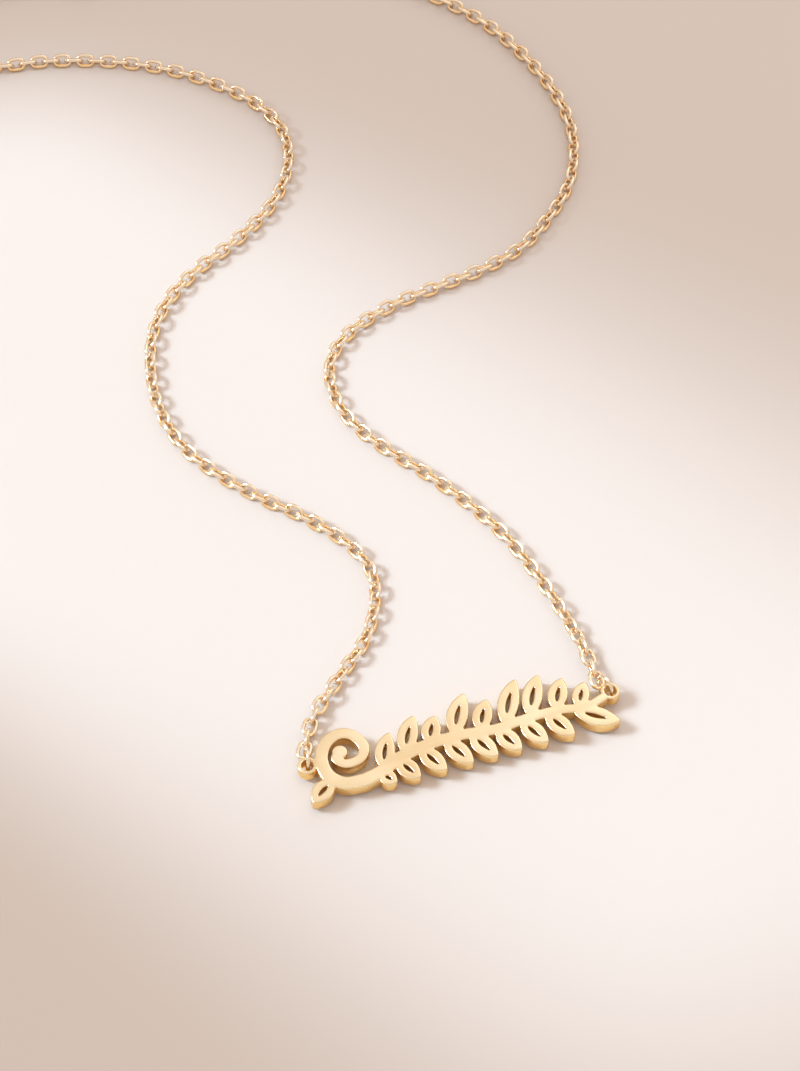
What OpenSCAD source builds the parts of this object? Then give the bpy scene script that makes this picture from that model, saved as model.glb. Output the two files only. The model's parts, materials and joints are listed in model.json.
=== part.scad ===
/* [Nameplate] */
// Width of the pierced leafy pattern
plate_w = 35.2; // [31:0.2:41]
// Height of the pierced leafy pattern
plate_h = 8.6; // [7.8:0.2:10]
// Thickness of the plate
plate_t = 1.5; // [1:0.1:1.6]
// Broadest width of a leaf
leaf_w = 2.25; // [2:0.05:2.4]
// Broadest width of the stem
stem_w = 1.6; // [1.4:0.05:1.7]
// Broadest width of the vein pierced through a leaf
vein_w = 0.45; // [0.4:0.05:0.55]
// Radius that rounds the tips of the leaves and every outer corner
corner_r = 0.25; // [0.15:0.01:0.3]
// Bore of the eye at each end
eye_bore = 1.3; // [1.1:0.05:1.6]
// Metal left round the bore of an eye
eye_wall = 0.4; // [0.35:0.05:0.6]
// How far an eye stands out past the end of the pattern
eye_reach = 0.4; // [0:0.1:1]
// How far the back of an eye is cut back for the jump ring that passes below it
eye_relief = 0.2; // [0.1:0.05:0.4]
// How far the left eye's centre lies above the middle of the plate
left_eye_rise = 0.5; // [-1:0.1:1]
// How far the right eye's centre lies above the middle of the plate
right_eye_rise = -0.5; // [-1:0.1:1]

/* [Jump rings] */
// Outer diameter of a jump ring
ring_od = 2.8; // [2.7:0.1:3.3]
// Wire of a jump ring
ring_wire = 0.4; // [0.3:0.02:0.44]
// Lean of the left jump ring from upright
left_ring_lean = 8; // [0:1:14]
// Lean of the right jump ring from upright
right_ring_lean = 10; // [0:1:14]

/* [Chain] */
// How far from the plate the clasp lies
loop_l = 124.3; // [118:0.1:136]
// Outer length of a link
link_l = 2.55; // [2.4:0.05:2.9]
// Outer width of a link
link_w = 1.75; // [1.65:0.05:1.9]
// Wire of a link
link_wire = 0.45; // [0.35:0.01:0.48]
// Play between the wires of two linked links
link_play = 0.15; // [0.12:0.01:0.3]
// Turn of every other link from flat, where the chain lies free
link_roll = 45; // [40:1:50]

/* [Clasp] */
// Outer diameter of the spring ring
clasp_od = 5.2; // [4.8:0.1:6]
// Tube of the spring ring
clasp_tube = 1.0; // [0.9:0.05:1.1]
// Outer diameter of the clasp's soldered eye
clasp_eye_od = 2.2; // [2:0.1:2.6]
// Wire of the clasp's soldered eye
clasp_eye_wire = 0.5; // [0.4:0.05:0.6]
// Length of the thumb tab on the spring ring
clasp_tab_l = 0.9; // [0.6:0.1:1.4]
// Outer diameter of the ring at each end of the chain
end_ring_od = 3.8; // [3.7:0.1:4.2]
// Wire of the ring at each end of the chain
end_ring_wire = 0.45; // [0.4:0.05:0.5]

/* [Hidden] */
$fn = 36;

// Chosen points of the chain's two strands on the surface, each from its jump ring to the clasp
LEFT_ROUTE = [[-14.4, 6.7], [-10.2, 10.8], [-6, 14.8], [-3.5, 19.5], [-3, 23.5], [-4.5, 27.6],
  [-8, 32.3], [-12, 36.4], [-15.7, 41], [-18.5, 46], [-19.7, 51.5], [-19.5, 57], [-17.8, 63],
  [-14.6, 67.7], [-10.2, 71.2], [-5, 74], [0, 77.4], [3.5, 81.2], [5.6, 85.6], [6.1, 90.3],
  [4.5, 95.2], [0.9, 99.8], [-3.6, 103.8], [-8.8, 107], [-14.3, 109.3], [-20.2, 111],
  [-25.4, 111.7], [-29.4, 113], [-31.9, 116], [-32, 119.8], [-29.8, 123.1], [-26, 125],
  [-21, 125.6]];
RIGHT_ROUTE = [[16.3, 6], [15.6, 12], [14.4, 18], [12.6, 23.9], [10, 29.2], [7, 34.1],
  [3.6, 38.9], [1.1, 43.7], [0.3, 48.2], [1.2, 52.6], [4.4, 56.2], [10.4, 58.8], [17, 60],
  [23.1, 61], [28.8, 63], [33.6, 66.6], [37.4, 70.6], [39.8, 75.2], [41.1, 80.5], [41, 86.4],
  [39.4, 93.5], [36.4, 100.6], [32, 106.6], [27, 111.4], [20.8, 115], [13.8, 117.9],
  [6.8, 120.2], [0, 122]];
// Middle of the spring ring, and the way from its soldered eye to its far side
CLASP_AT = [-11, 124.3];
CLASP_HEADING = -12;
// The distance at which these points set the clasp. Another loop_l moves all of them that lie
// further from the plate than LEAVE_L, and ever less of the way nearer to it
LOOP_DRAWN = 124.3;
LEAVE_L = 30;
// The way from each eye of the plate to the first link of its strand
LEFT_HEADING = 80;
RIGHT_HEADING = 105;

// Chosen points of the stem in shares of the plate's width and height: the scroll, then the branch
SCROLL = [[-0.375, 0.12], [-0.393, 0.05], [-0.368, -0.06], [-0.322, -0.04], [-0.3, 0.11],
  [-0.322, 0.31], [-0.365, 0.375], [-0.41, 0.28], [-0.436, 0.08], [-0.43, -0.16], [-0.39, -0.32],
  [-0.33, -0.35]];
BRANCH = [[-0.33, -0.35], [-0.27, -0.29], [-0.2, -0.17], [-0.1, -0.1], [0, -0.1], [0.1, -0.15],
  [0.2, -0.12], [0.3, -0.12], [0.39, -0.18], [0.455, -0.11]];
// Where the left eye's neck starts on the scroll
NECK_ROOT = [-0.436, 0.08];
// Leaves along the branch: root in shares of plate_w, way from the stem, tip in shares of plate_h
// and greatest width in shares of leaf_w
LEAF_ROOT = 0; LEAF_WAY = 1; LEAF_TIP = 2; LEAF_SHARE = 3;
LEAVES = [
  [-0.265, 66, 0.2, 0.96], [-0.188, 62, 0.34, 1], [-0.106, 63, 0.26, 0.96], [-0.026, 61, 0.46, 1.04],
  [0.056, 63, 0.29, 0.98], [0.134, 61, 0.46, 1.04], [0.216, 62, 0.44, 1], [0.3, 62, 0.3, 0.98],
  [0.37, 60, 0.16, 0.85],
  [-0.278, -52, -0.5, 0.8], [-0.214, -60, -0.52, 0.98], [-0.136, -62, -0.52, 1],
  [-0.055, -62, -0.52, 1.02], [0.026, -62, -0.52, 1.02], [0.107, -62, -0.52, 1.02],
  [0.188, -62, -0.52, 1.02], [0.268, -60, -0.52, 1], [0.35, -34, -0.5, 1.06]];
// The leaf at the foot of the scroll, in shares of the plate's width and height
FOOT_ROOT = [-0.42, -0.24];
FOOT_TIP = [-0.5, -0.47];
// How far a leaf's line is pulled aside, and where its vein starts and ends, in shares of its length
LEAF_BOW = 0.08;
VEIN_FROM = 0.27;
VEIN_TO = 0.78;
// Radius that fills the inner corners
FILLET_R = 0.1;

// Clearance kept between any two wires that pass through each other
wire_gap = 0.13;
// Play between a strand's first link and the ring that holds it
HOOK_PLAY = 0.215;
// Share of the free room in an eye's bore that its jump ring is pushed across
SEAT_SHARE = 0.7;
// Share of the free room in an end ring that it is pulled out from the soldered eye
HOLD_SHARE = 0.75;
// The end rings lift the last links of a strand this far
END_LIFT = 0.4;

function lerp(a, b, share) = a + (b - a) * share;
function way(angle) = [cos(angle), sin(angle)];
function eased(share) = let (t = max(0, min(1, share))) t * t * (3 - 2 * t);

// Jump rings: each lies in its eye's bore and round the metal beside it
ring_r = (ring_od - ring_wire) / 2;
ring_seat = ring_r - SEAT_SHARE * (eye_bore / 2 - ring_wire / 2 - wire_gap);
// A jump ring passes below the plate, which hangs this far above the surface
ring_room = sqrt(pow(ring_r - ring_wire / 2 - wire_gap, 2) - pow(ring_seat - eye_bore / 2, 2));
plate_lift = ring_wire / 2 + (ring_r - ring_room) * cos(min(left_ring_lean, right_ring_lean))
  - eye_relief;
table_z = -plate_lift;

// Eyes: on the plate's two ends
eye_od = eye_bore + 2 * eye_wall;
left_eye = [-(plate_w - eye_od) / 2 - eye_reach, left_eye_rise];
right_eye = [(plate_w - eye_od) / 2 + eye_reach, right_eye_rise];

// Links: two half rings joined by straight legs
bend_r = (link_w - link_wire) / 2;
leg_l = link_l - link_w;
link_pitch = link_l - 2 * link_wire - link_play;
// Above the surface, a link's middle is this high where the links stand flat and upright by turns
upright_rise = bend_r + link_wire / 2;
// The links turn from that to their free roll over this length at each end of a strand
SETTLE_L = 12;

// End rings and clasp: the clasp is lifted by the end ring that passes below it
clasp_r = (clasp_od - clasp_tube) / 2;
clasp_eye_r = (clasp_eye_od - clasp_eye_wire) / 2;
end_ring_r = (end_ring_od - end_ring_wire) / 2;
clasp_rise = end_ring_wire + wire_gap + clasp_tube / 2;
// The soldered eye sinks into the tube by half its own wire
clasp_eye_out = clasp_od / 2 + clasp_eye_od / 2 - clasp_eye_wire;

// How high a leaning ring's middle is above the surface
function ring_rise(r, wire, lean) = wire / 2 + r * cos(lean);
// Middle of a strand's first link, which hangs on the far side of a leaning ring
function first_link(middle, heading, r, wire, lean, lift) = let (
    drop = (upright_rise + lift - ring_rise(r, wire, lean)) / cos(lean),
    side = sqrt(r * r - drop * drop),
    out = side + (link_l - link_wire) / 2 - (link_wire / 2 + wire / 2 + HOOK_PLAY) * r / side
  ) middle + out * way(heading) - drop * sin(lean) * way(heading + 90);

// The left end ring lies this far out from the soldered eye's wire, and the right one over the tube
end_ring_hold = HOLD_SHARE * sqrt(pow(end_ring_r - end_ring_wire / 2 - clasp_eye_wire / 2 - wire_gap, 2)
  - pow(ring_rise(end_ring_r, end_ring_wire, 0) - clasp_rise, 2));
left_ring_at = left_eye + ring_seat * way(LEFT_HEADING);
right_ring_at = right_eye + ring_seat * way(RIGHT_HEADING);
function laid(place) = place * lerp(1, loop_l / LOOP_DRAWN, eased(place.y / LEAVE_L));
clasp_at = laid(CLASP_AT);
left_end_at = clasp_at - (clasp_eye_out + clasp_eye_r + end_ring_hold) * way(CLASP_HEADING);
right_end_at = clasp_at + clasp_r * way(CLASP_HEADING);
left_strand = concat(
  [first_link(left_ring_at, LEFT_HEADING, ring_r, ring_wire, left_ring_lean, 0)],
  [for (place = LEFT_ROUTE) laid(place)],
  [first_link(left_end_at, CLASP_HEADING + 180, end_ring_r, end_ring_wire, 0, END_LIFT)]);
right_strand = concat(
  [first_link(right_ring_at, RIGHT_HEADING, ring_r, ring_wire, right_ring_lean, 0)],
  [for (place = RIGHT_ROUTE) laid(place)],
  [first_link(right_end_at, CLASP_HEADING, end_ring_r, end_ring_wire, 0, END_LIFT)]);

// Smooth curve through chosen points, in short steps, and its running length at each step
ROUTE_STEPS = 8;
STEM_STEPS = 5;
LEAF_STEPS = 9;
function curve_point(a, b, c, d, t) =
  (2 * b + (c - a) * t + (2 * a - 5 * b + 4 * c - d) * t * t + (3 * b - a - 3 * c + d) * t * t * t) / 2;
function smooth_route(points, steps = ROUTE_STEPS) = let (
    last = len(points) - 1,
    full = concat([2 * points[0] - points[1]], points, [2 * points[last] - points[last - 1]])
  ) concat(
    [for (i = [1 : last]) for (k = [0 : steps - 1])
      curve_point(full[i - 1], full[i], full[i + 1], full[i + 2], k / steps)],
    [points[last]]);
function running_length(points) = [
  for (i = 0, sum = 0; i < len(points);
    i = i + 1, sum = sum + (i < len(points) ? norm(points[i] - points[i - 1]) : 0)) sum];

module link() {
  for (end = [-1, 1]) {
    translate([end * leg_l / 2, 0, 0]) rotate([0, 0, -90 * end])
      rotate_extrude(angle = 180) translate([bend_r, 0]) circle(d = link_wire);
    translate([-leg_l / 2, end * bend_r, 0]) rotate([0, 90, 0]) cylinder(d = link_wire, h = leg_l);
  }
}

// Roll of every other link from flat, and the height of a link's middle, at a place along a strand
function roll_at(at, total) = link_roll * eased(min(at, total - at) / SETTLE_L);
function rise_at(at, total) = let (roll = roll_at(at, total))
  bend_r * max(sin(roll), cos(roll)) + link_wire / 2 + END_LIFT * (1 - eased((total - at) / SETTLE_L));

// A strand of links at an even pitch, flat at both ends and rolled between them
module strand(points) {
  route = smooth_route(points);
  run = running_length(route);
  xs = [for (i = [0 : len(route) - 1]) [run[i], route[i].x]];
  ys = [for (i = [0 : len(route) - 1]) [run[i], route[i].y]];
  total = run[len(run) - 1];
  steps = 2 * ceil(total / link_pitch / 2);
  for (i = [0 : steps]) {
    at = total * i / steps;
    from = max(0, at - link_l / 2);
    to = min(total, at + link_l / 2);
    heading = atan2(lookup(to, ys) - lookup(from, ys), lookup(to, xs) - lookup(from, xs));
    climb = atan2(rise_at(to, total) - rise_at(from, total), to - from);
    translate([lookup(at, xs), lookup(at, ys), table_z + rise_at(at, total)])
      rotate([roll_at(at, total) + 90 * (i % 2), -climb, heading]) link();
  }
}

// A wire ring that stands on the surface along a heading, leaning to the right of it
module leaning_ring(middle, heading, r, wire, lean) {
  translate([middle.x, middle.y, table_z + ring_rise(r, wire, lean)])
    rotate([90 + lean, 0, heading]) rotate_extrude() translate([r, 0]) circle(d = wire);
}

module jump_ring_left() {
  color("goldenrod") leaning_ring(left_ring_at, LEFT_HEADING, ring_r, ring_wire, left_ring_lean);
}

module jump_ring_right() {
  color("goldenrod")
    leaning_ring(right_ring_at, RIGHT_HEADING, ring_r, ring_wire, right_ring_lean);
}

module chain_left() {
  color("burlywood") strand(left_strand);
}

module chain_right() {
  color("burlywood") strand(right_strand);
}

module clasp() {
  color("goldenrod")
    translate([clasp_at.x, clasp_at.y, table_z + clasp_rise]) rotate([0, 0, CLASP_HEADING]) {
      rotate_extrude() translate([clasp_r, 0]) circle(d = clasp_tube);
      translate([-clasp_eye_out, 0, 0])
        rotate_extrude() translate([clasp_eye_r, 0]) circle(d = clasp_eye_wire);
      rotate([0, 0, 125]) translate([clasp_r, 0, 0])
        rotate([0, 90, 0]) cylinder(d = clasp_tube / 2, h = clasp_tube / 2 + clasp_tab_l);
    }
}

module clasp_ring_left() {
  color("goldenrod")
    leaning_ring(left_end_at, CLASP_HEADING + 180, end_ring_r, end_ring_wire, 0);
}

module clasp_ring_right() {
  color("goldenrod")
    leaning_ring(right_end_at, CLASP_HEADING, end_ring_r, end_ring_wire, 0);
}

// A place given in shares of the plate's width and height
function on_plate(place) = [place.x * plate_w, place.y * plate_h];

// A flat stroke along points, as wide at each point as its entry in widths
module stroke(points, widths) {
  last = len(points) - 1;
  sides = [for (i = [0 : last])
    let (along = points[min(i + 1, last)] - points[max(i - 1, 0)])
      [-along.y, along.x] / norm(along) * widths[i] / 2];
  polygon(concat([for (i = [0 : last]) points[i] + sides[i]],
    [for (i = [last : -1 : 0]) points[i] - sides[i]]));
}

// A stroke of the stem that narrows or widens evenly from one share of stem_w to another
module stem(points, from, to) {
  curve = smooth_route(points, STEM_STEPS);
  last = len(curve) - 1;
  stroke(curve, [for (i = [0 : last]) stem_w * lerp(from, to, i / last)]);
}

// A bowed leaf from its root to its tip, pierced by its vein
module leaf(root, tip, share) {
  way = tip - root;
  mid = (root + tip) / 2 + sign(way.y) * LEAF_BOW * [-way.y, way.x];
  steps = [0 : LEAF_STEPS];
  line = function (t) (1 - t) * (1 - t) * root + 2 * t * (1 - t) * mid + t * t * tip;
  difference() {
    stroke([for (k = steps) line(k / LEAF_STEPS)],
      [for (k = steps) share * leaf_w * max(0.1, pow(sin(180 * pow(k / LEAF_STEPS, 0.95)), 0.65))]);
    stroke([for (k = steps) line(lerp(VEIN_FROM, VEIN_TO, k / LEAF_STEPS))],
      [for (k = steps) share * vein_w * max(0.3, sin(180 * pow(k / LEAF_STEPS, 0.7)))]);
  }
}

// The pattern with its outer corners and its inner corners rounded
module pattern() {
  branch = smooth_route([for (place = BRANCH) on_plate(place)], STEM_STEPS);
  offset(r = corner_r, $fn = 12) offset(delta = -corner_r)
    offset(r = -FILLET_R, $fn = 12) offset(delta = FILLET_R) {
      stem([for (place = SCROLL) on_plate(place)], 0.6, 1);
      translate(on_plate(SCROLL[0])) circle(d = stem_w * 1.05);
      translate(on_plate(BRANCH[0])) circle(d = stem_w);
      stem(concat([for (place = BRANCH) on_plate(place)], [right_eye]), 1, 0.55);
      stem([on_plate(NECK_ROOT), left_eye], 0.55, 0.55);
      for (row = LEAVES) {
        root = [row[LEAF_ROOT] * plate_w, lookup(row[LEAF_ROOT] * plate_w, branch)];
        rise = row[LEAF_TIP] * plate_h - root.y;
        leaf(root, root + [rise / tan(row[LEAF_WAY]), rise], row[LEAF_SHARE]);
      }
      leaf(on_plate(FOOT_ROOT), on_plate(FOOT_TIP), 1);
    }
}

module nameplate() {
  color("gold") difference() {
    union() {
      linear_extrude(plate_t) pattern();
      for (eye = [left_eye, right_eye])
        translate([eye.x, eye.y, 0]) cylinder(d = eye_od, h = plate_t);
    }
    for (eye = [left_eye, right_eye]) translate([eye.x, eye.y, 0]) {
      translate([0, 0, -1]) cylinder(d = eye_bore, h = plate_t + 2);
      translate([0, 0, -1]) cylinder(d = eye_od + 2 * wire_gap, h = 1 + eye_relief);
    }
  }
}

nameplate();
jump_ring_left();
jump_ring_right();
chain_left();
chain_right();
clasp();
clasp_ring_left();
clasp_ring_right();
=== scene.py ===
"""Looks of a nameplate necklace that lies on a pale surface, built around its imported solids."""

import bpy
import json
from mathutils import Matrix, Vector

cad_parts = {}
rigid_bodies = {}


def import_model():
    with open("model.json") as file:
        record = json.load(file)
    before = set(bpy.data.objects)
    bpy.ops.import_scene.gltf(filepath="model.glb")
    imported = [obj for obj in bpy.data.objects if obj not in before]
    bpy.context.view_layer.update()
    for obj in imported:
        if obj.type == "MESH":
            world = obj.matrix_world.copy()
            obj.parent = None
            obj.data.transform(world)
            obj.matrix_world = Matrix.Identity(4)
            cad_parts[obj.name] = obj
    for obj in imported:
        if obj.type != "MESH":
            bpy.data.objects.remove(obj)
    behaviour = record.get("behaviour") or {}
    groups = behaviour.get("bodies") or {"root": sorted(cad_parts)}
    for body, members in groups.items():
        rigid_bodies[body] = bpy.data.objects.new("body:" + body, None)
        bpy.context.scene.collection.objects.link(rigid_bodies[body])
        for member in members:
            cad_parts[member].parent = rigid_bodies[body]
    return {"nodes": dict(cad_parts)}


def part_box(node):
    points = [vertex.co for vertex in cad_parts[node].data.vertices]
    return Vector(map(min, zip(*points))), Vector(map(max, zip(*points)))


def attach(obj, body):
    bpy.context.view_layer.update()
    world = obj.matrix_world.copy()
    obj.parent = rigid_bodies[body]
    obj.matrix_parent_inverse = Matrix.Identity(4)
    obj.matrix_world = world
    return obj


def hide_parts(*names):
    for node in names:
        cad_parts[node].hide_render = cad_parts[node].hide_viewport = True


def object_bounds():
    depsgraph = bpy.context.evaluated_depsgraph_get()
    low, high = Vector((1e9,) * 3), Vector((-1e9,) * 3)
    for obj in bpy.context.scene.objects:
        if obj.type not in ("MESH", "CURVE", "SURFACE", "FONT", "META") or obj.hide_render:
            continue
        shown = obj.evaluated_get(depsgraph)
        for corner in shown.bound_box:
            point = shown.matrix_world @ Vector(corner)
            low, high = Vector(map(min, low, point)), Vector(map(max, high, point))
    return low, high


bl_info = {
    "name": "Nameplate necklace",
    "version": (1, 0, 0),
    "blender": (4, 5, 0),
    "location": "View3D > Sidebar > Necklace",
    "description": "Dresses the solids of a nameplate necklace and lays it on a pale surface",
    "category": "Object",
}

import json
import math

import bmesh
import bpy
import numpy as np
from bpy.props import FloatProperty, FloatVectorProperty, IntProperty, PointerProperty
from mathutils import Matrix, Vector

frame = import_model()
CAD_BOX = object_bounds()
SURFACE_Z = CAD_BOX[0][2]
BODY = "root"
MM = 0.001
MERGE = 0.002 * MM
X, Z = Vector((1, 0, 0)), Vector((0, 0, 1))

# The colour sockets of a Mix node go by number, because its other kinds have the same names.
MIX_LOW, MIX_HIGH, MIXED = 6, 7, 2
MIDDLE = 0.5  # of noise, and of a ramp

# The stage: where the pool of light lies, the lamps round it, the camera, and the room's light.
POOL = Vector((-4.6, 28, 0)) * MM + Z * SURFACE_Z
KEY_WAY, KEY_DISTANCE = Vector((-1.067, 0.44, 1)), 0.1054
KEY_TURN = math.radians(49.8)
FILL_WAY, FILL_DISTANCE, FILL_SIZE = Vector((0.8, 0.7, 1.0)), 0.8, 0.5
SENSOR_WIDTH, FOCAL_LENGTH = 36, 90.6
CLIP_NEAR, CLIP_FAR = 0.01, 10
CAMERA_SPOT = Vector((-50.4, -138.0, 251.4)) * MM
CAMERA_PITCH, CAMERA_TURN = math.radians(55.5), math.radians(17.54)
ROOM_WAY = Vector((0.05, 0.2, 1.0)).normalized()
ROOM_DIM, ROOM_BRIGHT = 0.55, 0.95


class Flow:
    """A shader socket whose arithmetic adds Math nodes, so that a pattern is an expression."""

    def __init__(self, finish, socket):
        self.finish, self.socket = finish, socket

    def _math(self, operation, first, second=None):
        return self.finish.node("ShaderNodeMath", {"operation": operation}, {0: first, 1: second})

    def __add__(self, other):
        return self._math("ADD", self, other)

    def __sub__(self, other):
        return self._math("SUBTRACT", self, other)

    def __rsub__(self, other):
        return self._math("SUBTRACT", other, self)

    def __mul__(self, other):
        return self._math("MULTIPLY", self, other)

    def __truediv__(self, other):
        return self._math("DIVIDE", self, other)

    def __rtruediv__(self, other):
        return self._math("DIVIDE", other, self)

    __radd__ = __add__
    __rmul__ = __mul__


class Finish:
    """A material under construction: its node tree, and its Principled shader's sockets."""

    def __init__(self, name, holder=None):
        self.owner = holder or bpy.data.materials.new(name)
        self.owner.use_nodes = True
        self.tree = self.owner.node_tree
        self.shader = self.tree.nodes.get("Principled BSDF")

    def node(self, kind, settings=None, sockets=None, out=0):
        """Adds a node: its settings first, then the values or links of its sockets."""
        made = self.tree.nodes.new(kind)
        for key, value in (settings or {}).items():
            if key == "stops":
                self.fill_ramp(made.color_ramp, value)
            else:
                setattr(made, key, value)
        for key, value in (sockets or {}).items():
            self.feed(made.inputs[key], value)
        return Flow(self, made.outputs[out])

    def fill_ramp(self, ramp, stops):
        """Gives a ramp its stops, each a place and a grey."""
        while len(ramp.elements) < len(stops):
            ramp.elements.new(MIDDLE)
        for element, (place, grey) in zip(ramp.elements, stops):
            element.position, element.color = place, (grey, grey, grey, 1)

    def feed(self, socket, value):
        """Links a Flow into a socket, or sets its value."""
        if isinstance(value, Flow):
            self.tree.links.new(value.socket, socket)
        elif value is not None:
            socket.default_value = value

    def spot(self):
        """Where a point of the piece lies, in metres."""
        return self.node("ShaderNodeTexCoord", out="Object")

    def noise(self, size, stretch=(1, 1, 1), detail=2.0):
        """Noise from 0 to 1 whose grains are about that size in metres."""
        scale = [1 / (size * share) for share in stretch]
        where = self.node("ShaderNodeMapping", sockets={"Vector": self.spot(), "Scale": scale})
        return self.node("ShaderNodeTexNoise",
                         sockets={"Vector": where, "Scale": 1.0, "Detail": detail})

    def above(self, level):
        """How far above a level a point lies, in metres."""
        return self.node("ShaderNodeSeparateXYZ", sockets={0: self.spot()}, out="Z") - level

    def mix(self, share, low, high):
        """One colour turning into the other as share goes from 0 to 1."""
        return self.node("ShaderNodeMix", {"data_type": "RGBA"},
                         {"Factor": share, MIX_LOW: low, MIX_HIGH: high}, out=MIXED)

    def bump(self, height, distance, strength):
        """A normal for a relief that rises by distance, in metres, as height goes from 0 to 1."""
        return self.node("ShaderNodeBump", sockets={"Height": height, "Distance": distance,
                                                    "Strength": strength})

    def surface(self, **sockets):
        """Feeds the Principled shader and returns the material."""
        for name, value in sockets.items():
            self.feed(self.shader.inputs[name.replace("_", " ").title()], value)
        return self.owner


def opaque(colour):
    """A colour with full alpha."""
    return (*colour, 1.0)


class PlateLook(bpy.types.PropertyGroup):
    rim: FloatProperty(
        name="Rim", description="Width of the rounded rim along the plate's edges",
        default=0.17 * MM, unit="LENGTH")
    rim_depth: FloatProperty(
        name="Rim's depth", description="How far down the rounded rim reaches",
        default=0.09 * MM, unit="LENGTH")
    face_colour: FloatVectorProperty(
        name="Face", description="Gold of the satin face", subtype="COLOR",
        default=(0.905, 0.79, 0.56))
    face_deep: FloatVectorProperty(
        name="Deeper face", description="Gold of the face where the plating is deepest",
        subtype="COLOR", default=(0.80, 0.615, 0.355))
    wall_colour: FloatVectorProperty(
        name="Wall", description="Gold of the plate's walls", subtype="COLOR",
        default=(0.95, 0.70, 0.33))
    # Painted shade: the colour of the walls' dark level lines and of their darker foot.
    wall_lines_and_shade: FloatVectorProperty(
        name="Deeper wall", description="Gold of the walls' lines and of their foot",
        subtype="COLOR", default=(0.96, 0.56, 0.15))
    satin: FloatProperty(
        name="Satin", description="Roughness of the face", default=0.34, subtype="FACTOR")
    polish: FloatProperty(
        name="Polish", description="Roughness of the rim and the walls", default=0.25,
        subtype="FACTOR")
    relief: FloatProperty(
        name="Eye relief", description="Depth by which the back of each eye is cut away",
        default=0.2 * MM, unit="LENGTH")
    relief_across: FloatProperty(
        name="Relief's diameter", description="Diameter of the cut behind each eye",
        default=2.36 * MM, unit="LENGTH")


class WireLook(bpy.types.PropertyGroup):
    colour: FloatVectorProperty(
        name="Colour", description="Gold of the chain and the rings", subtype="COLOR",
        default=(0.93, 0.80, 0.63))
    # Both random deeper plating and painted shade low on the wire, near the surface.
    deep_and_shade: FloatVectorProperty(
        name="Deeper colour", description="Gold where the plating is deepest", subtype="COLOR",
        default=(0.97, 0.64, 0.27))
    # Painted light: the wire is painted palest at this height and darker below it as shade.
    painted_light_at: FloatProperty(
        name="Pale at", description="Height above the surface at which the gold is palest",
        default=1.2 * MM, unit="LENGTH")
    polish: FloatProperty(
        name="Polish", description="Roughness of the wire", default=0.14, subtype="FACTOR")
    bend_steps: IntProperty(
        name="Bend steps", description="Steps round each half of a link", default=5)
    wire_sides: IntProperty(
        name="Wire sides", description="Sides of a link's wire", default=7)
    ring_steps: IntProperty(
        name="Ring steps", description="Steps round a ring", default=56)
    ring_sides: IntProperty(
        name="Ring sides", description="Sides of a ring's wire", default=16)
    ring_cut: FloatProperty(
        name="Ring cut", description="Width of the cut where a ring closes",
        default=0.03 * MM, unit="LENGTH")


class ClaspLook(bpy.types.PropertyGroup):
    across: FloatProperty(
        name="Diameter", description="Outer diameter of the spring ring", default=5.2 * MM,
        unit="LENGTH")
    tube: FloatProperty(
        name="Tube", description="Tube of the spring ring", default=1.0 * MM, unit="LENGTH")
    tongue: FloatProperty(
        name="Tongue", description="Wire of the sprung tongue", default=0.66 * MM,
        unit="LENGTH")
    mouth: FloatProperty(
        name="Mouth", description="Opening of the tube that the tongue closes",
        default=math.radians(64), subtype="ANGLE")
    mouth_at: FloatProperty(
        name="Mouth's start", default=math.radians(30), subtype="ANGLE",
        description="Where the mouth starts, from the side opposite the eye")
    tuck: FloatProperty(
        name="Tuck", description="How far each end of the tongue goes into the tube",
        default=math.radians(8), subtype="ANGLE")
    eye_across: FloatProperty(
        name="Eye", description="Outer diameter of the soldered eye", default=2.2 * MM,
        unit="LENGTH")
    eye_wire: FloatProperty(
        name="Eye wire", description="Wire of the soldered eye", default=0.5 * MM,
        unit="LENGTH")
    tab: FloatProperty(
        name="Tab", description="Length of the thumb tab", default=0.9 * MM, unit="LENGTH")
    tab_at: FloatProperty(
        name="Tab's place", description="Where the tab stands, from the side opposite the eye",
        default=math.radians(125), subtype="ANGLE")
    steps: IntProperty(name="Steps", description="Steps round the tube", default=64)
    sides: IntProperty(name="Sides", description="Sides of the tube", default=24)


class StageLook(bpy.types.PropertyGroup):
    floor_colour: FloatVectorProperty(
        name="Surface", description="Colour of the surface", subtype="COLOR",
        default=(0.708, 0.654, 0.631))
    floor_shade: FloatVectorProperty(
        name="Surface, duller", description="Colour of the surface's duller parts",
        subtype="COLOR", default=(0.693, 0.635, 0.608))
    floor_size: FloatProperty(
        name="Surface size", description="Width of the surface", default=3.0, unit="LENGTH")
    key_power: FloatProperty(
        name="Key", description="Power of the beam from the left, in watts", default=0.0294)
    key_colour: FloatVectorProperty(
        name="Key colour", description="Colour of the beam from the left", subtype="COLOR",
        default=(0.70, 0.868, 1.0))
    key_long: FloatProperty(
        name="Beam's length", description="Length of the pool of light", default=137 * MM,
        unit="LENGTH")
    key_wide: FloatProperty(
        name="Beam's width", description="Width of the pool of light", default=70 * MM,
        unit="LENGTH")
    key_spread: FloatProperty(
        name="Beam's spread", description="How far the beam opens, which softens its shadows",
        default=math.radians(24), subtype="ANGLE")
    fill_power: FloatProperty(
        name="Fill", default=0.62,
        description="Power of the large lamp beyond the necklace and to its right, in watts")
    fill_colour: FloatVectorProperty(
        name="Fill colour", description="Colour of the large lamp", subtype="COLOR",
        default=(1.0, 0.91, 0.84))
    air: FloatProperty(
        name="Air", description="Brightness of the room overhead", default=1.0)
    air_low: FloatProperty(
        name="Low air", description="Brightness of the room near the horizon", default=0.8)
    air_colour: FloatVectorProperty(
        name="Air colour", description="Colour of the room's light", subtype="COLOR",
        default=(1.0, 0.875, 0.775))


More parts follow.
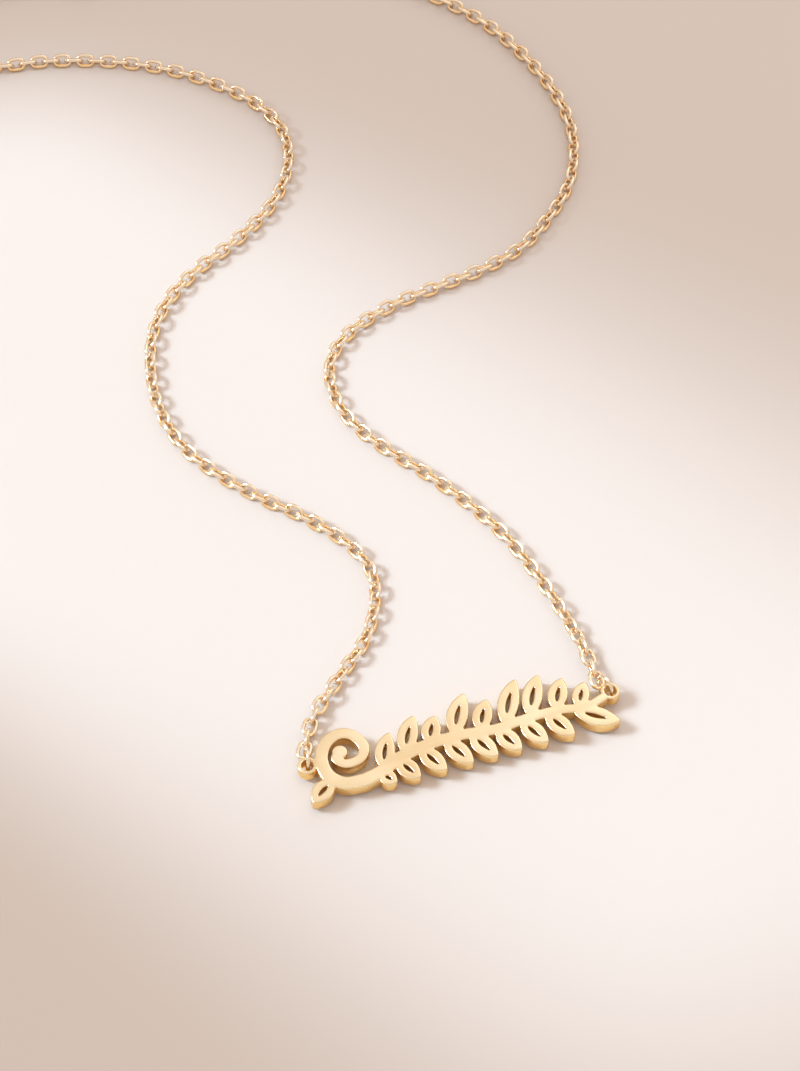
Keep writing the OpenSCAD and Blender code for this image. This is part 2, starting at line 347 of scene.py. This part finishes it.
def new_piece(name, mesh, slot, *nodes):
    """An object for a finished mesh, in the place of the solids that it stands for."""
    piece = bpy.data.objects.new(name, mesh)
    bpy.context.scene.collection.objects.link(piece)
    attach(piece, BODY)
    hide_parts(*nodes)
    return piece


def mesh_from(bm, name, materials, smooth=True):
    """Turns a bmesh into a mesh with these materials, its faces pointing outwards."""
    bmesh.ops.recalc_face_normals(bm, faces=bm.faces)
    mesh = bpy.data.meshes.new(name)
    bm.to_mesh(mesh)
    bm.free()
    for material in materials:
        mesh.materials.append(material)
    mesh.polygons.foreach_set("use_smooth", [smooth] * len(mesh.polygons))
    return mesh


def triangles(node):
    """A solid node's triangles: the corners that they share, and three corner numbers for each."""
    mesh = frame["nodes"][node].data
    mesh.calc_loop_triangles()
    spots = np.empty(len(mesh.vertices) * 3, np.float32)
    mesh.vertices.foreach_get("co", spots)
    corners = np.empty(len(mesh.loop_triangles) * 3, np.int32)
    mesh.loop_triangles.foreach_get("vertices", corners)
    spots = spots.reshape(-1, 3).astype(float)
    _, kept, same = np.unique((spots / MERGE).round(), axis=0, return_index=True,
                              return_inverse=True)
    return spots[kept], same.ravel()[corners].reshape(-1, 3)


def solids_of(node):
    """The corners of each triangle of each separate solid in a node."""
    spots, faces = triangles(node)
    group = np.arange(len(spots))
    settled = False
    while not settled:
        low = group.copy()
        np.minimum.at(low, faces.ravel(), np.repeat(group[faces].min(axis=1), 3))
        low = low[low]
        settled = np.array_equal(low, group)
        group = low
    owner = group[faces[:, 0]]
    return [spots[faces[owner == solid]] for solid in np.unique(owner)]


def placed(solid):
    """Where a solid lies, its longest way along X and its shortest along Z, and its sizes."""
    sides = solid[:, 1:] - solid[:, :1]
    areas = np.linalg.norm(np.cross(sides[:, 0], sides[:, 1]), axis=1)
    middles = solid.mean(axis=1)
    middles -= np.average(middles, axis=0, weights=areas)
    ways = np.linalg.eigh(middles.T @ (middles * areas[:, None]))[1][:, ::-1]
    if np.linalg.det(ways) < 0:
        ways[:, 2] *= -1
    reach = solid.reshape(-1, 3) @ ways
    low, high = reach.min(axis=0), reach.max(axis=0)
    place = Matrix(ways.tolist()).to_4x4()
    place.translation = Vector(ways @ ((low + high) / 2))
    return place, high - low


def wire_loop(bm, wire, radius, sides, start):
    """A circle of wire in the XZ plane, its middle at radius along +X turned to start."""
    made = bmesh.ops.create_circle(bm, segments=sides, radius=wire / 2,
                                   matrix=Matrix.Rotation(start, 4, "Z")
                                   @ Matrix.Translation((radius, 0, 0))
                                   @ Matrix.Rotation(math.pi / 2, 4, "X"))
    return list(dict.fromkeys(edge for vert in made["verts"] for edge in vert.link_edges))


def swept(bm, edges, centre, angle, steps):
    """Spins the loop about +Z through centre and returns the far end's edges."""
    made = bmesh.ops.spin(bm, geom=edges, cent=centre, axis=Z, angle=angle, steps=steps)
    return [part for part in made["geom_last"] if isinstance(part, bmesh.types.BMEdge)]


def link_mesh(length, width, wire, look):
    """One oval link: two half rings of wire joined by straight legs."""
    bm = bmesh.new()
    leg = length - width
    radius = (width - wire) / 2
    end = wire_loop(bm, wire, radius, look.wire_sides, -math.pi / 2)
    bmesh.ops.translate(bm, verts=bm.verts, vec=X * leg / 2)
    for side in (1, -1):
        end = swept(bm, end, X * leg / 2 * side, math.pi, look.bend_steps)
        leg_end = bmesh.ops.extrude_edge_only(bm, edges=end)["geom"]
        moved = [part for part in leg_end if isinstance(part, bmesh.types.BMVert)]
        bmesh.ops.translate(bm, verts=moved, vec=X * -leg * side)
        end = [part for part in leg_end if isinstance(part, bmesh.types.BMEdge)
               and all(vert in moved for vert in part.verts)]
    bmesh.ops.remove_doubles(bm, verts=bm.verts, dist=MERGE)
    return bm


def chain_mesh(node, name, material, look):
    """Smooth links in the places of a strand's solids."""
    places = [placed(solid) for solid in solids_of(node)]
    length, width, wire = np.median([sizes for _, sizes in places], axis=0)
    link = link_mesh(length, width, wire, look)
    pattern = bpy.data.meshes.new("link")
    link.to_mesh(pattern)
    link.free()
    bm = bmesh.new()
    for place, _ in places:
        before = len(bm.verts)
        bm.from_mesh(pattern)
        bm.verts.ensure_lookup_table()
        bmesh.ops.transform(bm, matrix=place, verts=bm.verts[before:])
    bpy.data.meshes.remove(pattern)
    return mesh_from(bm, name, [material])


def ring_mesh(node, name, material, look):
    """A smooth ring of wire in a ring's place, with a fine cut where it closes."""
    place, (across, _, wire) = placed(solids_of(node)[0])
    radius = (across - wire) / 2
    bm = bmesh.new()
    start = wire_loop(bm, wire, radius, look.ring_sides, 0)
    turn = 2 * math.pi - look.ring_cut / radius
    end = swept(bm, start, Vector(), turn, look.ring_steps)
    for loop in (start, end):
        bmesh.ops.edgeloop_fill(bm, edges=loop)
    bmesh.ops.transform(bm, matrix=place, verts=bm.verts)
    return mesh_from(bm, name, [material])


def add_tube(bm, look, radius):
    """The clasp's tube, and the thinner tongue that closes its mouth."""
    body = wire_loop(bm, look.tube, radius, look.sides, look.mouth_at + look.mouth)
    turn = 2 * math.pi - look.mouth
    ends = [body, swept(bm, body, Vector(), turn, look.steps)]
    tongue = wire_loop(bm, look.tongue, radius, look.sides, look.mouth_at - look.tuck)
    ends += [tongue, swept(bm, tongue, Vector(), look.mouth + 2 * look.tuck, look.steps // 4)]
    for loop in ends:
        bmesh.ops.edgeloop_fill(bm, edges=loop)


def add_eye(bm, look):
    """The clasp's soldered eye."""
    radius = (look.eye_across - look.eye_wire) / 2
    middle = X * -(look.across / 2 + look.eye_across / 2 - look.eye_wire)
    eye = wire_loop(bm, look.eye_wire, radius, look.sides, 0)
    moved = list(dict.fromkeys(vert for edge in eye for vert in edge.verts))
    bmesh.ops.translate(bm, verts=moved, vec=middle)
    bmesh.ops.spin(bm, geom=eye, cent=middle, axis=Z, angle=2 * math.pi,
                   steps=look.steps // 2, use_merge=True)


def add_tab(bm, look, radius):
    """The clasp's thumb tab, a short stalk with a knob."""
    knob_to_stalk = 1.4
    way = Matrix.Rotation(look.tab_at, 4, "Z")
    stalk = look.tube / 4
    length = look.tube / 2 + look.tab - stalk
    bmesh.ops.create_cone(
        bm, cap_ends=True, segments=look.sides, radius1=stalk, radius2=stalk, depth=length,
        matrix=way @ Matrix.Translation(X * (radius + length / 2))
        @ Matrix.Rotation(math.pi / 2, 4, "Y"))
    knob = stalk * knob_to_stalk
    bmesh.ops.create_uvsphere(
        bm, u_segments=look.sides, v_segments=look.sides // 2, radius=knob,
        matrix=way @ Matrix.Translation(X * (radius + look.tube / 2 + look.tab - knob)))


def add_solder(bm, look):
    """The drop of solder that joins the clasp's eye to its tube."""
    drop_to_wire, stretch = 0.75, (0.7, 1.2, 0.8, 1)
    bmesh.ops.create_uvsphere(
        bm, u_segments=look.sides, v_segments=look.sides // 2,
        radius=look.eye_wire * drop_to_wire,
        matrix=Matrix.Translation(X * -(look.across / 2 + look.eye_wire / 4))
        @ Matrix.Diagonal(stretch))


def clasp_mesh(name, material, look):
    """A spring ring clasp: a tube whose mouth a thinner tongue closes, a tab and an eye."""
    left, right = (placed(solids_of(f"clasp_ring_{side}")[0])[0].translation
                   for side in ("left", "right"))
    along = (right - left).to_2d()
    low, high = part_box("clasp")
    radius = (look.across - look.tube) / 2
    middle = right.to_2d() - along.normalized() * radius
    bm = bmesh.new()
    add_tube(bm, look, radius)
    add_eye(bm, look)
    add_tab(bm, look, radius)
    add_solder(bm, look)
    bmesh.ops.transform(
        bm, verts=bm.verts,
        matrix=Matrix.Translation((*middle, (low[2] + high[2]) / 2))
        @ Matrix.Rotation(math.atan2(along.y, along.x), 4, "Z"))
    return mesh_from(bm, name, [material])


def rim_loops(node):
    """The closed outlines of a plate's top face, each as points in order."""
    bm = bmesh.new()
    bm.from_mesh(frame["nodes"][node].data)
    bmesh.ops.remove_doubles(bm, verts=bm.verts, dist=MERGE)
    bm.normal_update()
    upward = 0.5
    rim = dict.fromkeys(
        edge for edge in bm.edges if len(edge.link_faces) == 2
        and sorted(face.normal.z > upward for face in edge.link_faces) == [False, True])
    loops = []
    while rim:
        edge, _ = rim.popitem()
        first, here = edge.verts
        loop = [first.co.copy()]
        while here is not first:
            loop.append(here.co.copy())
            edge = next(side for side in here.link_edges if side in rim)
            del rim[edge]
            here = edge.other_vert(here)
        loops.append(loop)
    bm.free()
    return loops


def bores(loops):
    """The middles of the loops that are round."""
    unevenness = 5 * MERGE
    for loop in loops:
        spots = np.array(loop)[:, :2]
        middle = spots.mean(axis=0)
        if np.ptp(np.linalg.norm(spots - middle, axis=1)) < unevenness:
            yield middle


def evaluated(name, data, **modifiers):
    """A bmesh of a curve or mesh after the modifiers, each given by its kind and its settings."""
    maker = bpy.data.objects.new(name, data)
    bpy.context.scene.collection.objects.link(maker)
    for kind, settings in modifiers.items():
        modifier = maker.modifiers.new(kind, kind.upper())
        for key, value in settings.items():
            setattr(modifier, key, value)
    depsgraph = bpy.context.evaluated_depsgraph_get()
    mesh = bpy.data.meshes.new_from_object(maker.evaluated_get(depsgraph))
    bm = bmesh.new()
    bm.from_mesh(mesh)
    bpy.data.batch_remove([maker, data, mesh])
    return bm


def eye_cutter(middles, level, look):
    """Discs that cut away the back of each eye, so that a jump ring passes below it."""
    sides, radius = 72, look.relief_across / 2
    bm = bmesh.new()
    for middle in middles:
        bmesh.ops.create_cone(bm, cap_ends=True, segments=sides, radius1=radius,
                              radius2=radius, depth=2 * look.relief,
                              matrix=Matrix.Translation((*middle, level)))
    cutter = bpy.data.objects.new("cutter", mesh_from(bm, "cutter", [], False))
    bpy.context.scene.collection.objects.link(cutter)
    return cutter


def rimmed_slab(loops, thick, look):
    """The plate as a curve's filled body, level about zero, with a rounded rim on both sides."""
    outline = bpy.data.curves.new("outline", "CURVE")
    outline.dimensions, outline.fill_mode = "2D", "BOTH"
    outline.extrude = thick / 2 - look.rim_depth
    outline.bevel_depth, outline.offset = look.rim, -look.rim
    outline.bevel_resolution = 3
    for loop in loops:
        spline = outline.splines.new("POLY")
        spline.points.add(len(loop) - 1)
        for point, spot in zip(spline.points, loop):
            point.co = (spot.x, spot.y, 0, 1)
        spline.use_cyclic_u = True
    reach = outline.extrude
    bm = evaluated("outline", outline)
    bmesh.ops.remove_doubles(bm, verts=bm.verts, dist=MERGE)
    for side in (1, -1):
        shoulder = reach * side
        rim = [vert for vert in bm.verts if (vert.co.z - shoulder) * side > MERGE]
        bmesh.ops.scale(bm, vec=(1, 1, look.rim_depth / look.rim), verts=rim,
                        space=Matrix.Translation((0, 0, -shoulder)))
    return bm


def plate_mesh(name, materials, look):
    """The pierced plate, its face and its back with a narrow rounded rim."""
    low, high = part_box("nameplate")
    loops = rim_loops("nameplate")
    bm = rimmed_slab(loops, high[2] - low[2], look)
    bmesh.ops.translate(bm, verts=bm.verts, vec=Z * (low[2] + high[2]) / 2)
    cutter = eye_cutter(bores(loops), low[2], look)
    bm = evaluated("carved", mesh_from(bm, "whole", [], False),
                   boolean={"operation": "DIFFERENCE", "solver": "EXACT", "object": cutter})
    bpy.data.batch_remove([cutter, cutter.data])
    bm.normal_update()
    flat, upright, sharp = 0.999, 0.02, math.radians(32)
    face_slot, rim_slot, wall_slot = range(len(materials))
    for face in bm.faces:
        tilt = abs(face.normal.z)
        face.material_index = (
            face_slot if tilt > flat else wall_slot if tilt < upright else rim_slot)
    mesh = mesh_from(bm, name, materials)
    mesh.set_sharp_from_angle(angle=sharp)
    return mesh


def satin_face(look):
    """Satin gold: soft cloudy colour, and fine strokes of the brush along the plate."""
    finish = Finish("satin_face")
    cloud = finish.noise(size=5 * MM)
    strokes = finish.noise(size=0.05 * MM, stretch=(26, 1, 1), detail=3.0)
    grain = finish.noise(size=0.03 * MM)
    contrast, deep_share, scatter, grain_share = 2.2, 0.5, 0.16, 0.5
    return finish.surface(
        base_color=finish.mix(cloud * contrast - deep_share, opaque(look.face_deep),
                              opaque(look.face_colour)),
        roughness=look.satin + (strokes - MIDDLE) * scatter,
        metallic=1.0,
        normal=finish.bump(strokes + grain * grain_share, distance=0.0012 * MM, strength=0.6))


def polished_rim(look):
    """Bright gold of the rim, smoother than the face."""
    finish = Finish("polished_rim")
    wear = finish.noise(size=0.6 * MM)
    least, scatter = 0.8, 0.4
    return finish.surface(
        base_color=finish.mix(wear, opaque(look.face_deep), opaque(look.face_colour)),
        roughness=look.polish * (least + wear * scatter),
        metallic=1.0)


def wall_layers_and_painted_shade(look):
    """Deep gold of the walls, with the fine level lines that the layers of the plate leave,
    painted darker in the lines' grooves and towards the foot as shade.
    """
    finish = Finish("wall_layers_and_painted_shade")
    # The ramp paints shade: dark bands in the layers' grooves, and a wall that darkens towards its
    # foot.
    stops = [(0.0, 0.3), (0.28, 0.6), (0.34, 0.1), (0.4, 0.75), (0.62, 0.85), (0.68, 0.0),
             (0.74, 1.0), (0.9, 0.9)]
    low, high = (corner[2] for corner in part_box("nameplate"))
    level = finish.above(low) / (high - low)
    layers_and_shade = finish.node("ShaderNodeValToRGB", {"stops": stops}, {0: level})
    wear = finish.noise(size=0.5 * MM)
    least, contrast, scatter = 0.75, 0.5, 0.12
    return finish.surface(
        base_color=finish.mix(layers_and_shade * (least + wear * contrast), opaque(look.wall_lines_and_shade),
                              opaque(look.wall_colour)),
        roughness=look.polish + wear * scatter,
        metallic=1.0,
        normal=finish.bump(layers_and_shade, distance=0.02 * MM, strength=0.8))


def polished_wire(look):
    """Bright drawn wire: fine die marks, random clouds of deeper gold, and painted light and
    shade: paler up top, deeper towards the surface.
    """
    finish = Finish("polished_wire")
    # Painted light and shade: the gold is paler high up and deeper low down, near the surface.
    height = finish.above(SURFACE_Z) / look.painted_light_at
    cloud = finish.noise(size=1.3 * MM)
    light_and_shade_share, cloud_share, deep_share, scatter = 0.8, 1.2, 0.5, 0.12
    tone_and_shade = height * light_and_shade_share + cloud * cloud_share - deep_share
    marks = finish.noise(size=0.07 * MM)
    return finish.surface(
        base_color=finish.mix(tone_and_shade, opaque(look.deep_and_shade), opaque(look.colour)),
        roughness=look.polish + (marks - MIDDLE) * scatter,
        metallic=1.0,
        normal=finish.bump(marks, distance=0.001 * MM, strength=0.5))


def soft_floor(look):
    """Pale matt surface with the faintest tooth."""
    finish = Finish("soft_floor")
    cloud = finish.noise(size=90 * MM, detail=1.0)
    tooth = finish.noise(size=0.35 * MM)
    return finish.surface(
        base_color=finish.mix(cloud, opaque(look.floor_shade), opaque(look.floor_colour)),
        roughness=0.75,
        normal=finish.bump(tooth, distance=0.01 * MM, strength=0.4))


class NECKLACE_OT_plate(bpy.types.Operator):
    """Makes the pierced nameplate with its rounded rim"""

    bl_idname = "necklace.plate"
    bl_label = "Nameplate"

    def execute(self, context):
        look = context.scene.necklace_plate
        finishes = [satin_face(look), polished_rim(look), wall_layers_and_painted_shade(look)]
        new_piece("leafy_plate", plate_mesh("leafy_plate", finishes, look), "plate", "nameplate")
        return {"FINISHED"}


class NECKLACE_OT_chains(bpy.types.Operator):
    """Makes both strands of the oval cable chain"""

    bl_idname = "necklace.chains"
    bl_label = "Chains"

    def execute(self, context):
        look = context.scene.necklace_wire
        gold = polished_wire(look)
        for side in ("left", "right"):
            node = f"chain_{side}"
            links = chain_mesh(node, f"links_{side}", gold, look)
            new_piece(f"links_{side}", links, "chain", node)
        return {"FINISHED"}


class NECKLACE_OT_rings(bpy.types.Operator):
    """Makes the jump rings of the plate and the rings that carry the clasp"""

    bl_idname = "necklace.rings"
    bl_label = "Rings"

    def execute(self, context):
        look = context.scene.necklace_wire
        gold = bpy.data.materials["polished_wire"]
        for node in ("jump_ring_left", "jump_ring_right", "clasp_ring_left", "clasp_ring_right"):
            name = f"{node}_wire"
            new_piece(name, ring_mesh(node, name, gold, look), "rings", node)
        return {"FINISHED"}


class NECKLACE_OT_clasp(bpy.types.Operator):
    """Makes the spring ring clasp"""

    bl_idname = "necklace.clasp"
    bl_label = "Clasp"

    def execute(self, context):
        gold = bpy.data.materials["polished_wire"]
        mesh = clasp_mesh("spring_ring", gold, context.scene.necklace_clasp)
        new_piece("spring_ring", mesh, "rings", "clasp")
        return {"FINISHED"}


class NECKLACE_OT_stage(bpy.types.Operator):
    """Lays the pale surface, and sets up the lamps and the camera"""

    bl_idname = "necklace.stage"
    bl_label = "Stage"

    def execute(self, context):
        scene, look = context.scene, context.scene.necklace_stage
        lay_floor(scene, look)
        hang_lamps(look)
        light_room(scene, look)
        aim_camera(scene)
        scene.view_settings.view_transform = "Standard"
        return {"FINISHED"}


def lay_floor(scene, look):
    """Lays the pale surface at the height on which the necklace rests."""
    bm = bmesh.new()
    bmesh.ops.create_grid(bm, x_segments=1, y_segments=1, size=look.floor_size / 2,
                          matrix=Matrix.Translation((0, 0, SURFACE_Z)))
    floor = bpy.data.objects.new("floor", mesh_from(bm, "floor", [soft_floor(look)], False))
    scene.collection.objects.link(floor)


def hang_lamps(look):
    """Hangs the narrow beam that makes the pool of light, and the large soft lamp."""
    key = bpy.data.lights.new("key", "AREA")
    key.shape, key.size, key.size_y = "RECTANGLE", look.key_long, look.key_wide
    key.energy, key.color, key.spread = look.key_power, look.key_colour, look.key_spread
    beam = hung(key, POOL, KEY_WAY, KEY_DISTANCE)
    beam.rotation_euler.rotate_axis("Z", KEY_TURN)

    fill = bpy.data.lights.new("fill", "AREA")
    fill.energy, fill.color, fill.size = look.fill_power, look.fill_colour, FILL_SIZE
    hung(fill, POOL, FILL_WAY, FILL_DISTANCE)


def aim_camera(scene):
    """Puts the camera where the photograph's was."""
    lens = bpy.data.cameras.new("camera")
    lens.sensor_width, lens.lens = SENSOR_WIDTH, FOCAL_LENGTH
    lens.clip_start, lens.clip_end = CLIP_NEAR, CLIP_FAR
    camera = bpy.data.objects.new("camera", lens)
    level = math.cos(CAMERA_PITCH)
    way = Vector((math.sin(CAMERA_TURN) * level, math.cos(CAMERA_TURN) * level,
                  -math.sin(CAMERA_PITCH)))
    camera.rotation_euler = way.to_track_quat("-Z", "Y").to_euler()
    camera.location = CAMERA_SPOT
    scene.collection.objects.link(camera)
    scene.camera = camera


def light_room(scene, look):
    """Fills the room with light that is brightest overhead, a little beyond the necklace."""
    scene.world = scene.world or bpy.data.worlds.new("room")
    room = Finish("room", scene.world)
    way = room.node("ShaderNodeTexCoord", out="Generated")
    facing = room.node("ShaderNodeVectorMath", {"operation": "DOT_PRODUCT"},
                       {0: way, 1: ROOM_WAY}, out="Value")
    share = room.node("ShaderNodeMapRange", {"interpolation_type": "SMOOTHSTEP"},
                      {"Value": facing, "From Min": ROOM_DIM, "From Max": ROOM_BRIGHT})
    background = room.tree.nodes["Background"].inputs
    room.feed(background["Color"], opaque(look.air_colour))
    room.feed(background["Strength"], look.air_low + share * (look.air - look.air_low))


def hung(lamp, spot, way, distance):
    """Hangs a lamp at a distance along a way from the spot that it shines at."""
    holder = bpy.data.objects.new(lamp.name, lamp)
    holder.location = spot + way.normalized() * distance
    holder.rotation_euler = (-way).to_track_quat("-Z", "Y").to_euler()
    holder.visible_camera = False
    bpy.context.scene.collection.objects.link(holder)
    return holder


class NECKLACE_PT_panel(bpy.types.Panel):
    """Lists the steps that dress the necklace"""

    bl_idname = "NECKLACE_PT_panel"
    bl_label = "Nameplate necklace"
    bl_space_type = "VIEW_3D"
    bl_region_type = "UI"
    bl_category = "Necklace"

    def draw(self, context):
        for look, steps in STEPS:
            for step in steps:
                self.layout.operator(step.bl_idname)
            group = getattr(context.scene, look)
            for field in group.__annotations__:
                self.layout.prop(group, field)


LOOKS = {
    "necklace_plate": PlateLook,
    "necklace_wire": WireLook,
    "necklace_clasp": ClaspLook,
    "necklace_stage": StageLook,
}
STEPS = [
    ("necklace_plate", [NECKLACE_OT_plate]),
    ("necklace_wire", [NECKLACE_OT_chains, NECKLACE_OT_rings]),
    ("necklace_clasp", [NECKLACE_OT_clasp]),
    ("necklace_stage", [NECKLACE_OT_stage]),
]
CLASSES = [*LOOKS.values(), *(step for _, steps in STEPS for step in steps), NECKLACE_PT_panel]


def register():
    for cls in CLASSES:
        bpy.utils.register_class(cls)
    for name, look in LOOKS.items():
        setattr(bpy.types.Scene, name, PointerProperty(type=look))


def unregister():
    for name in LOOKS:
        delattr(bpy.types.Scene, name)
    for cls in reversed(CLASSES):
        bpy.utils.unregister_class(cls)


def main():
    register()
    bpy.ops.necklace.plate()
    bpy.ops.necklace.chains()
    bpy.ops.necklace.rings()
    bpy.ops.necklace.clasp()
    bpy.ops.necklace.stage()


if __name__ == "__main__":
    main()
